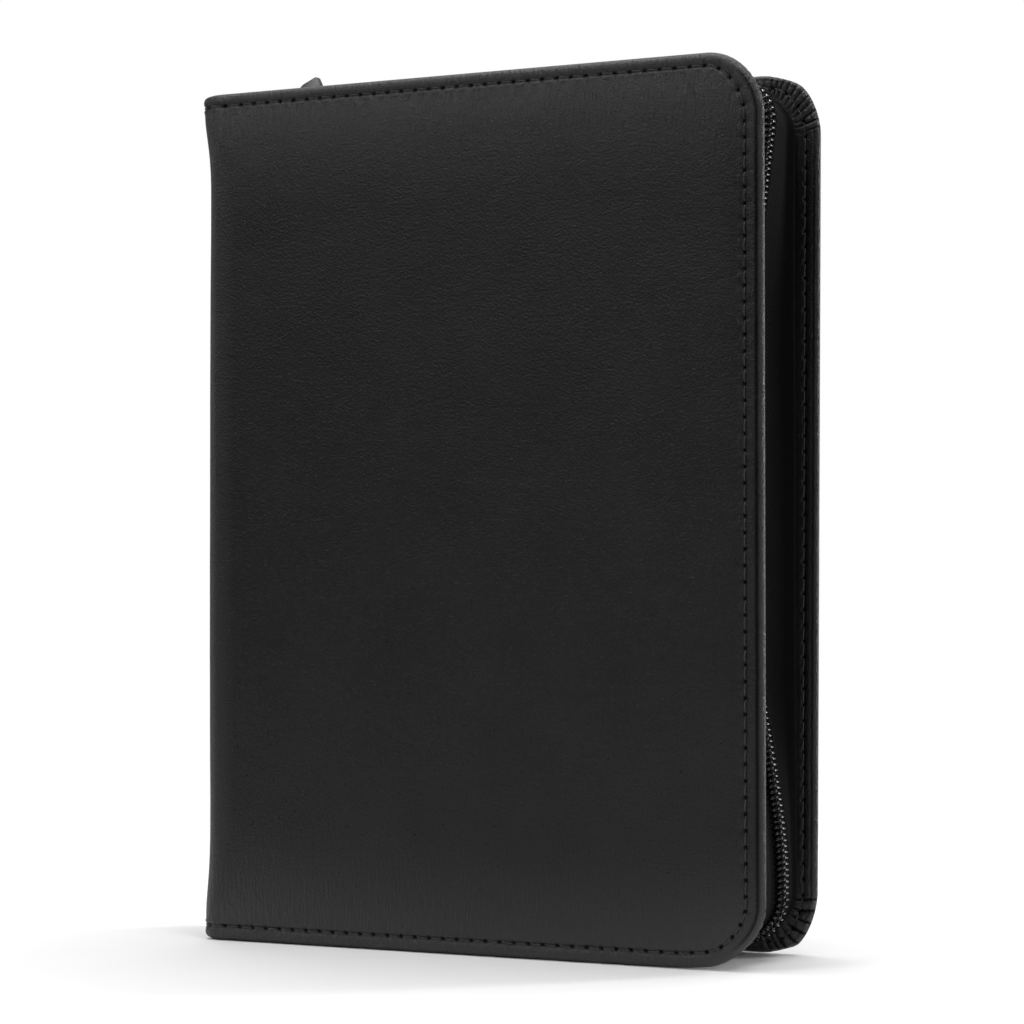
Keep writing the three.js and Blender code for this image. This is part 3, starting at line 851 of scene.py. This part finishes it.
def add_stitches(side, name):
    """Thread of the edge seam, outside and on the turned-in margin."""
    parts = Parts()
    for lengths, insets, inner in (
        (OUTER_LENGTHS, OUTER_INSETS, False),
        (INNER_LENGTHS, INNER_INSETS, True),
    ):
        stitch = 0
        while (stitch + 1) * STITCH < lengths[-1]:
            base = stitch * STITCH
            stitch += 1
            slant = 0.10 + 0.05 * rng.random()
            path = []
            for part in THREAD_PARTS:
                point, normal = along_seam(lengths, insets, base + part * STITCH)
                point = point + normal * slant * (0.5 - part) * 2
                rise = math.sin(math.pi * (part - THREAD_PARTS[0]) / THREAD_SPAN) ** 0.5
                if inner:
                    depth = mix(*THREAD_INSIDE, rise)
                else:
                    depth = mix(SEAM_DROP + THREAD_SINK, SEAM_DROP, rise)
                    depth += BOW * abs(2 * point.y / HEIGHT - 1) ** 4
                path.append((point.x, point.y, depth))
            if inner and min(p[0] for p in path) < INNER_SEAM_LEFT:
                continue
            folded = [place(side, u, v, depth) for u, v, depth in path]
            parts.tube(folded, THREAD)
    return parts.build(name, THREAD_BLACK)


def blend_over_fold(obj):
    """Bakes the piece's placement into its mesh."""
    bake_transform(obj)


def add_covers():
    for side, label in SIDES:
        skin = add_leather(side, f"leather_{label}")
        also = ["spine_leather"] if side < 0 else []
        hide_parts(f"{label}_cover_leather", *also)
        blend_over_fold(skin)
        blend_over_fold(add_stitches(side, f"stitches_{label}"))


# Zip
def cover_line(top_left, bottom_left):
    """The covers' outline on three sides, from the slider round to the bottom stop."""
    corner = RIGHT - CORNER
    top = even(top_left, corner, round((corner - top_left) / CHAIN_STEP))
    bottom = even(corner, bottom_left, round((corner - bottom_left) / CHAIN_STEP))
    arc = round(CORNER * math.pi / 2 / CHAIN_STEP)
    side = round((HEIGHT - 2 * CORNER) / CHAIN_STEP)
    return go_round(top, bottom, RIGHT, arc, side)


def chain_inset(x, z):
    """The tape's outer side: it bows in along the opening edge."""
    if x < RIGHT - CORNER:
        return TAPE_INSET
    bow = smooth(*SAG_TOP, z) * smooth(*SAG_BOTTOM, z)
    return TAPE_INSET + CHAIN_SAG * bow * smooth(RIGHT - CORNER, RIGHT - 2.0, x)


def chain_drift(x, z):
    """Shift towards the back cover round the lower corner, and to the front at the upper."""
    low = smooth(*DRIFT_BOTTOM, z) * smooth(*DRIFT_BOTTOM_RUN, x)
    high = smooth(*DRIFT_TOP, z) * smooth(*DRIFT_TOP_RUN, x)
    return CHAIN_DRIFT * low - CHAIN_DRIFT_TOP * high


def chain_point(sample, rise, y):
    """A point by its height above the tape and its distance from the chain's middle."""
    x, z, nx, nz = sample
    inset = chain_inset(x, z) - rise
    return x - nx * inset, y + chain_drift(x, z), z - nz * inset


def add_tape(side, label):
    """Twill tape from the turned-in margin to the chain, as a closed strip."""
    line = cover_line(TAPE_LEFT, TAPE_LEFT)
    lengths = running_lengths([sample[:2] for sample in line])
    across = 14
    rows, uv_rows = [], []
    for (x, z, nx, nz), along in zip(line, lengths):
        outer, inner, outer_uv, inner_uv = [], [], [], []
        sag = chain_inset(x, z) - TAPE_INSET
        drift = side * chain_drift(x, z)
        for k in range(across + 1):
            part = k / across
            across_y = mix(TAPE_OUT, TAPE_GAP, part)
            y = side * (across_y + drift * smooth(0.0, 1.0, part))
            inset = TAPE_INSET + sag * smooth(0.0, 0.9, part)
            inset += TAPE_WAVE * noise.noise(Vector((along * 0.08, across_y * 0.2, side * 3.0)))
            far = inset + TAPE * (0.5 if k in (0, across) else 1.0)
            outer.append((x - nx * inset, y, z - nz * inset))
            inner.append((x - nx * far, y, z - nz * far))
            outer_uv.append((along, TAPE_OUT - across_y))
            inner_uv.append((along, across_y - TAPE_OUT))
        rows.append(outer + inner[::-1])
        uv_rows.append(outer_uv + inner_uv[::-1])
    tape = lofted(f"tape_{label}", rows, uv_rows, TWILL)
    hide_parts(f"zip_tape_{label}")
    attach(tape, f"{label}_cover")


def walk(line, step):
    """Samples of the line at even distances measured along the chain itself."""
    lengths = running_lengths([chain_point(sample, 0.0, 0.0) for sample in line])
    samples = []
    for i in range(int(lengths[-1] / step)):
        index, part = locate(lengths, i * step)
        samples.append([mix(a, b, part) for a, b in zip(line[index], line[index + 1])])
    return samples


def add_coil(side, label):
    """Nylon coil as one flattened spiral, and the thread that sews it to the tape."""
    turn = 12
    line = walk(cover_line(CHAIN_LEFT, CHAIN_BOTTOM_LEFT), PITCH / turn)
    spiral = []
    for index, sample in enumerate(line):
        phase = 2 * math.pi * index / turn + (math.pi if side > 0 else 0.0)
        across = math.cos(phase)
        across = math.copysign(abs(across) ** 0.8, across)
        y = side * (COIL_MIDDLE - COIL_HALF_WIDTH * across)
        rise = COIL_RISE + COIL_HALF_HEIGHT * math.sin(phase)
        spiral.append(chain_point(sample, rise, y))
    parts = Parts()
    parts.tube(spiral, WIRE)
    coil = parts.build(f"coil_{label}", NYLON)
    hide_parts(f"zip_coil_{label}")
    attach(coil, f"{label}_cover")
    threads = Parts()
    for offset, lag in zip(COIL_THREAD_ACROSS, (0.0, 0.5)):
        path = []
        for index, sample in enumerate(line[:: turn // 6]):
            phase = 2 * math.pi * (index / 6 + lag)
            rise = COIL_THREAD_RISE + 0.16 * math.cos(phase)
            y = side * (offset + 0.12 * math.sin(phase))
            path.append(chain_point(sample, rise, y))
        threads.tube(path, COIL_THREAD, sides=5)
    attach(threads.build(f"coil_thread_{label}", THREAD_COIL), f"{label}_cover")


def bevelled_copy(node, name, width, material, body):
    """The CAD piece again with rounded edges."""
    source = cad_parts[node]
    obj = bpy.data.objects.new(name, source.data.copy())
    bpy.context.scene.collection.objects.link(obj)
    obj.data.materials.clear()
    obj.data.materials.append(material)
    weld = obj.modifiers.new("weld", "WELD")
    weld.merge_threshold = 0.00002
    bevel = obj.modifiers.new("bevel", "BEVEL")
    bevel.width = width * MM
    bevel.segments = 3
    bevel.limit_method = "ANGLE"
    bevel.angle_limit = math.radians(28)
    bevel.harden_normals = True
    apply_modifiers(obj)
    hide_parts(node)
    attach(obj, body)


def apply_modifiers(obj):
    graph = bpy.context.evaluated_depsgraph_get()
    mesh = bpy.data.meshes.new_from_object(obj.evaluated_get(graph))
    obj.modifiers.clear()
    old = obj.data
    obj.data = mesh
    bpy.data.meshes.remove(old)
    mesh.polygons.foreach_set("use_smooth", [True] * len(mesh.polygons))
    mesh.update()


def add_zip():
    for side, label in SIDES:
        add_tape(side, label)
        add_coil(side, label)
        node = f"zip_top_stop_{label}"
        bevelled_copy(node, f"top_stop_{label}", 0.25, METAL, f"{label}_cover")
    bevelled_copy("zip_bottom_stop", "bottom_stop", 0.25, METAL, "back_cover")
    bevelled_copy("zip_slider_body", "slider_body", 0.3, METAL, "zip_slider")
    bevelled_copy("zip_slider_crown", "slider_crown", 0.3, METAL, "zip_slider")
    bevelled_copy("zip_pull_link", "pull_link_wire", 0.3, METAL, "pull_link")
    bevelled_copy("zip_pull_tab", "pull_tab_plate", 0.25, METAL, "pull_tab")


# Inside
def panel_outline(inset, left, top):
    """Outline of a flat panel that follows the cover's corners at an inset, anticlockwise."""
    radius = CORNER - inset
    right = RIGHT - CORNER
    points = [(left, top), (left, inset)]
    steps = max(6, round(radius * 1.6 / 1.2))
    arcs = [(-math.pi / 2, CORNER)]
    if top > HEIGHT - CORNER:
        arcs.append((0.0, HEIGHT - CORNER))
    for start, middle in arcs:
        for i in range(steps + 1):
            angle = start + math.pi / 2 * i / steps
            points.append((right + radius * math.cos(angle), middle + radius * math.sin(angle)))
    if len(arcs) == 1:
        points.append((RIGHT - inset, top))
    return points


def add_panel(name, outline, near, far, side, round_off, material, slot):
    """A flat panel with softly rounded edges, between two depths from the outer face."""
    count = len(outline)
    middle = Vector((sum(p[0] for p in outline) / count, sum(p[1] for p in outline) / count))
    levels = [(round_off, near), (round_off * 0.3, near + round_off * 0.3)]
    levels += [(0.0, near + round_off), (0.0, far - round_off)]
    levels += [(round_off * 0.3, far - round_off * 0.3), (round_off, far)]
    rows, uv_rows = [], []
    for inset, depth in levels:
        row, uv_row = [], []
        for index, (x, z) in enumerate(outline):
            before = Vector(outline[index - 1])
            after = Vector(outline[(index + 1) % count])
            normal = Vector((after.y - before.y, before.x - after.x)).normalized()
            if (Vector((x, z)) - middle).dot(normal) < 0:
                normal = -normal
            row.append((x - normal.x * inset, side * (HALF - depth), z - normal.y * inset))
            uv_row.append((x - normal.x * inset, z - normal.y * inset + depth))
        rows.append(row)
        uv_rows.append(uv_row)
    return lofted(name, rows, uv_rows, material)


def add_linings():
    for side, label in SIDES:
        outline = panel_outline(LINING_INSET, PANEL_LEFT, HEIGHT - LINING_INSET)
        name = f"lining_{label}"
        cloth = add_panel(name, outline, *LINING_DEPTHS, side, 0.25, LINING, "lining")
        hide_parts(f"{label}_cover_lining")
        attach(cloth, f"{label}_cover")
        add_fold_strip(side, label)
    bevelled_copy("spine_lining", "lining_spine", 0.2, LINING, "spine")


def add_fold_strip(side, label):
    """Lining that bridges the fold between a cover and the spine, with a soft hollow."""
    path = [(-73.6, 17.35), (-75.2, 17.35), (-76.6, 17.33)]
    for i in range(9):
        angle = math.pi / 2 * (i + 1) / 10
        path.append((-76.9 - 1.45 * math.sin(angle), 15.88 + 1.45 * math.cos(angle)))
    path += [(-78.36, 15.6), (-78.36, 14.4), (-78.36, 13.0)]
    behind = [(x - 0.25, y + 0.1) for x, y in reversed(path)]
    lengths = running_lengths(path)
    steps = 75
    heights = [mix(STRIP_END, HEIGHT - STRIP_END, r / steps) for r in range(steps + 1)]
    rows = [[(x, side * y, z) for x, y in path + behind] for z in heights]
    uv_rows = [[(length, z) for length in lengths + lengths[::-1]] for z in heights]
    strip = lofted(f"lining_fold_{label}", rows, uv_rows, LINING)
    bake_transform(strip)


def add_row_of_stitches(parts, start, end, y, out):
    """Straight row of thread on a panel's face. out is the way the thread stands proud."""
    length = math.dist(start, end)
    count = max(1, int(length / POCKET_STITCH))
    for i in range(count):
        low = (i + 0.12) / count
        high = (i + 0.88) / count
        path = []
        for part in (0.0, 0.12, 0.35, 0.65, 0.88, 1.0):
            t = mix(low, high, part)
            rise = 0.16 * math.sin(math.pi * part) ** 0.5 - 0.06
            path.append((mix(start[0], end[0], t), y + out * rise, mix(start[1], end[1], t)))
        parts.tube(path, POCKET_THREAD, sides=5)


def pocket_rows(top):
    """Ends of the rows of stitches: down the side, round the corner and up, then the hem."""
    inset = POCKET_INSET + POCKET_SEAM
    left = POCKET_LEFT + POCKET_SEAM
    right = RIGHT - inset
    radius = CORNER - inset
    line = [(left, top - POCKET_OPEN), (left, inset)]
    for angle in (-math.pi / 2, -math.pi / 4, 0.0):
        x = RIGHT - CORNER + radius * math.cos(angle)
        line.append((x, CORNER + radius * math.sin(angle)))
    line.append((right, top - POCKET_OPEN))
    return [*zip(line, line[1:]), ((left, top - POCKET_HEM), (right, top - POCKET_HEM))]


def add_binding(name, top, centre, body):
    """Tape folded over a pocket's mouth."""
    section = []
    for i in range(12):
        angle = 2 * math.pi * i / 12
        y = BINDING_THICK * math.copysign(abs(math.sin(angle)) ** 0.7, math.sin(angle))
        z = BINDING_TALL * math.copysign(abs(math.cos(angle)) ** 0.45, math.cos(angle))
        section.append((y, z))
    steps = 60
    places = [mix(POCKET_LEFT, RIGHT - POCKET_INSET, r / steps) for r in range(steps + 1)]
    rows = [[(x, centre + y, top - BINDING_DROP + z) for y, z in section] for x in places]
    uv_rows = [[(x, z + y) for y, z in section] for x in places]
    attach(lofted(name, rows, uv_rows, BINDING), body)


def add_pocket(node, name, top, layer, side, body):
    """Slip pocket: a panel sewn down along three edges, its mouth bound with tape."""
    near = COVER + 0.2 + layer * LAYER
    far = near + POCKET_THICK
    outline = panel_outline(POCKET_INSET, POCKET_LEFT, top)
    panel = add_panel(name, outline, near, far, side, 0.3, POCKET, "pocket")
    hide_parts(node)
    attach(panel, body)
    seam = Parts()
    for start, end in pocket_rows(top):
        add_row_of_stitches(seam, start, end, side * (HALF - far), -side)
    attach(seam.build(f"{name}_seam", THREAD_BLACK), body)
    add_binding(f"{name}_binding", top, side * (HALF - near - BINDING_SINK), body)


def web_path(count):
    """Middle line of a strip of elastic with arches, as (along, rise)."""
    path = []
    first = -(count - 1) * LOOP_PITCH / 2
    end = -first + LOOP_RADIUS + LOOP_SEAM
    path += [(-end, 0.0), (-end + 1.5, 0.0), (-end + 3.2, 0.02)]
    for loop in range(count):
        middle = first + loop * LOOP_PITCH
        reach = LOOP_RADIUS + WEB / 2
        path += [(middle - reach - 0.9, 0.03), (middle - reach - 0.3, 0.25), (middle - reach, 0.9)]
        for i in range(15):
            angle = math.pi - math.pi * i / 14
            path.append((middle + reach * math.cos(angle), LOOP_RISE + reach * math.sin(angle)))
        path += [(middle + reach, 0.9), (middle + reach + 0.3, 0.25), (middle + reach + 0.9, 0.03)]
        if loop < count - 1:
            path += [(middle + LOOP_PITCH / 2 - 1.5, 0.0), (middle + LOOP_PITCH / 2 + 1.5, 0.0)]
    path += [(end - 3.2, 0.02), (end - 1.5, 0.0), (end, 0.0)]
    return path


def web_rows(path, low, width, spot):
    """Rows of points and UVs round the strip, and its length."""
    profile = [(0.0, 0.15), (0.25, 0.45), (0.8, 0.5), (width / 2, 0.5)]
    profile += [(width - 0.8, 0.5), (width - 0.25, 0.45), (width, 0.15)]
    lengths = running_lengths(path)
    rows, uv_rows = [], []
    for index, (s, rise) in enumerate(path):
        before = path[max(index - 1, 0)]
        after = path[min(index + 1, len(path) - 1)]
        ahead = Vector((after[0] - before[0], after[1] - before[1])).normalized()
        normal = Vector((-ahead.y, ahead.x))
        top_row, low_row, uv_row = [], [], []
        for z, share in profile:
            offset = normal * WEB * share
            centre = Vector((s, rise + WEB / 2))
            outer, inner = centre + offset, centre - offset
            top_row.append((*spot(outer.x, outer.y), low + z))
            low_row.append((*spot(inner.x, inner.y), low + z))
            uv_row.append((lengths[index], z))
        rows.append(top_row + low_row[::-1])
        uv_rows.append(uv_row + uv_row[::-1])
    return rows, uv_rows, lengths[-1]


def add_web(node, name, count, low, width, spot, body, under):
    """Elastic strip with loops. spot turns (along, rise) into x and y."""
    rows, uv_rows, length = web_rows(web_path(count), low, width, spot)
    web = lofted(name, rows, uv_rows, ELASTIC)
    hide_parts(node)
    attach(web, body)
    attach(add_tacks(f"{name}_tacks", count, low, width, spot), body)


def add_tacks(name, count, low, width, spot):
    """Zigzag rows of thread between the loops and at both ends."""
    tacks = Parts()
    first = -(count - 1) * LOOP_PITCH / 2
    spots = [first - LOOP_RADIUS - TACK_OUT, -first + LOOP_RADIUS + TACK_OUT]
    spots += [first + LOOP_PITCH * (loop + 0.5) for loop in range(count - 1)]
    for s in spots:
        zigzag = []
        for i in range(2 * int(width) - 3):
            z = low + 1.2 + i * 0.5
            x, y = spot(s + (TACK_HALF if i % 2 else -TACK_HALF), WEB + FINE_THREAD / 2)
            zigzag.append((x, y, z))
        tacks.tube(zigzag, FINE_THREAD, sides=5)
    return tacks.build(name, THREAD_BLACK)


def add_inside():
    add_linings()
    add_pocket("document_pocket", "pocket_document", DOCUMENT_TOP, 0, -1, "front_cover")
    add_pocket("tool_pocket", "pocket_tools", TOOLS_TOP, 1, -1, "front_cover")
    add_pocket("pad_pocket", "pocket_pad", PAD_TOP, 0, 1, "back_cover")
    floor_y = -HALF + COVER + 1.3

    def on_front(s, rise):
        return s, floor_y + rise

    def on_spine(s, rise):
        return INNER_LEFT + 0.2 + rise, -s

    band = (5, 118.0, 32.0)  # loops, lower edge and width
    pen = (1, 100.0, 34.0)
    add_web("tool_band", "loop_band", *band, on_front, "front_cover", "document_pocket")
    add_web("pen_loop", "loop_pen", *pen, on_spine, "spine", "spine_board")


def add_stiffeners():
    """Boards of the covers, and their foam, which ends short of the seam."""
    layers = (
        ("foam", FOAM_INSET, FOAM_DEPTHS, 0.25, FOAM),
        ("board", BOARD_INSET, BOARD_DEPTHS, 0.2, BOARD),
    )
    for side, label in SIDES:
        for kind, inset, depths, round_off, material in layers:
            outline = panel_outline(inset, PANEL_LEFT, HEIGHT - inset)
            name = f"{kind}_{label}"
            panel = add_panel(name, outline, *depths, side, round_off, material, kind)
            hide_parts(f"{label}_cover_{kind}")
            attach(panel, f"{label}_cover")


def finish_cad_nodes():
    """The spine's board and foam stay as they are, with their own materials."""
    kinds = {"board": BOARD, "foam": FOAM}
    for name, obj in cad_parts.items():
        for ending, material in kinds.items():
            if name.endswith(ending):
                for slot in obj.material_slots:
                    slot.material = material


# Stage
def add_stage():
    bpy.ops.mesh.primitive_plane_add(size=8, location=(0, 0, -0.0002))
    floor = bpy.context.object
    floor.name = "studio_floor"
    n = new_material("studio_paper", (0.93, 0.93, 0.93), 0.9, specular=0.0)
    fibre = n.noise(n.spot(), 60.0)
    paper = n.blend(fibre, (0.925, 0.925, 0.925), (0.94, 0.94, 0.94))
    n.feed("Base Color", paper)
    away = n.add("ShaderNodeVectorMath", operation="LENGTH")
    n.join(n.spot(), away.inputs[0])
    clear = n.add("ShaderNodeBsdfTransparent")
    both = n.add("ShaderNodeMixShader")
    n.join(n.spread(away.outputs["Value"], 0.2, 0.5), both.inputs[0])
    n.join(n.shader.outputs[0], both.inputs[1])
    n.join(clear.outputs[0], both.inputs[2])
    n.join(both.outputs[0], n.output.inputs["Surface"])
    floor.data.materials.append(n.owner)


def add_area(name, spot, target, size, power):
    data = bpy.data.lights.new(name, "AREA")
    data.shape = "RECTANGLE"
    data.size, data.size_y = size
    data.energy = power
    lamp = bpy.data.objects.new(name, data)
    bpy.context.scene.collection.objects.link(lamp)
    lamp.location = spot
    lamp.rotation_euler = (Vector(target) - Vector(spot)).to_track_quat("-Z", "Y").to_euler()


def add_world():
    """White all round for the camera. As light it is brighter behind the case than before it."""
    world = bpy.data.worlds.new("studio")
    bpy.context.scene.world = world
    world.use_nodes = True
    n = Nodes(world)
    ahead = n.parts(n.add("ShaderNodeTexCoord").outputs["Generated"])[1]
    light = n.add("ShaderNodeBackground")
    n.join(n.spread(ahead, 0.1, 0.9, 0.03, 1.0, kind="SMOOTHSTEP"), light.inputs["Strength"])
    white = n.add("ShaderNodeBackground", Strength=1.0, Color=(1, 1, 1, 1))
    choose = n.add("ShaderNodeMixShader")
    n.join(n.add("ShaderNodeLightPath").outputs["Is Camera Ray"], choose.inputs["Fac"])
    n.join(light.outputs[0], choose.inputs[1])
    n.join(white.outputs[0], choose.inputs[2])
    output = n.add("ShaderNodeOutputWorld")
    n.join(choose.outputs[0], output.inputs["Surface"])


def add_lights():
    add_area("overhead_softbox", (0.0, 0.0, 1.15), (0, 0, 0.0), (1.3, 1.1), 15.0)
    add_area("key_softbox", (-0.45, -0.95, 0.75), (0, 0, 0.12), (0.3, 0.3), 3.2)
    add_area("side_lamp", (0.7, -0.5, 0.35), (0.06, 0, 0.12), (0.08, 0.08), 1.1)
    add_area("rim_strip", (0.9, 0.75, 0.3), (0.08, 0, 0.12), (0.15, 0.9), 9.0)
    add_area("spine_strip", (-0.95, -0.15, 0.25), (-0.08, 0, 0.12), (0.12, 0.8), 1.2)


def add_camera():
    data = bpy.data.cameras.new("camera")
    data.lens = CAMERA_LENS
    data.sensor_width = 36.0
    data.clip_start = 0.01
    camera = bpy.data.objects.new("camera", data)
    bpy.context.scene.collection.objects.link(camera)
    camera.location = CAMERA_AT
    level = math.cos(CAMERA_PITCH)
    x, y = CAMERA_HEADING
    ahead = Vector((x * level, y * level, math.sin(CAMERA_PITCH)))
    camera.rotation_euler = ahead.to_track_quat("-Z", "Y").to_euler()
    bpy.context.scene.camera = camera


bpy.context.scene.view_settings.view_transform = "Standard"
add_camera()
add_world()
add_lights()
add_stage()
finish_cad_nodes()
add_covers()
add_zip()
add_inside()
add_stiffeners()
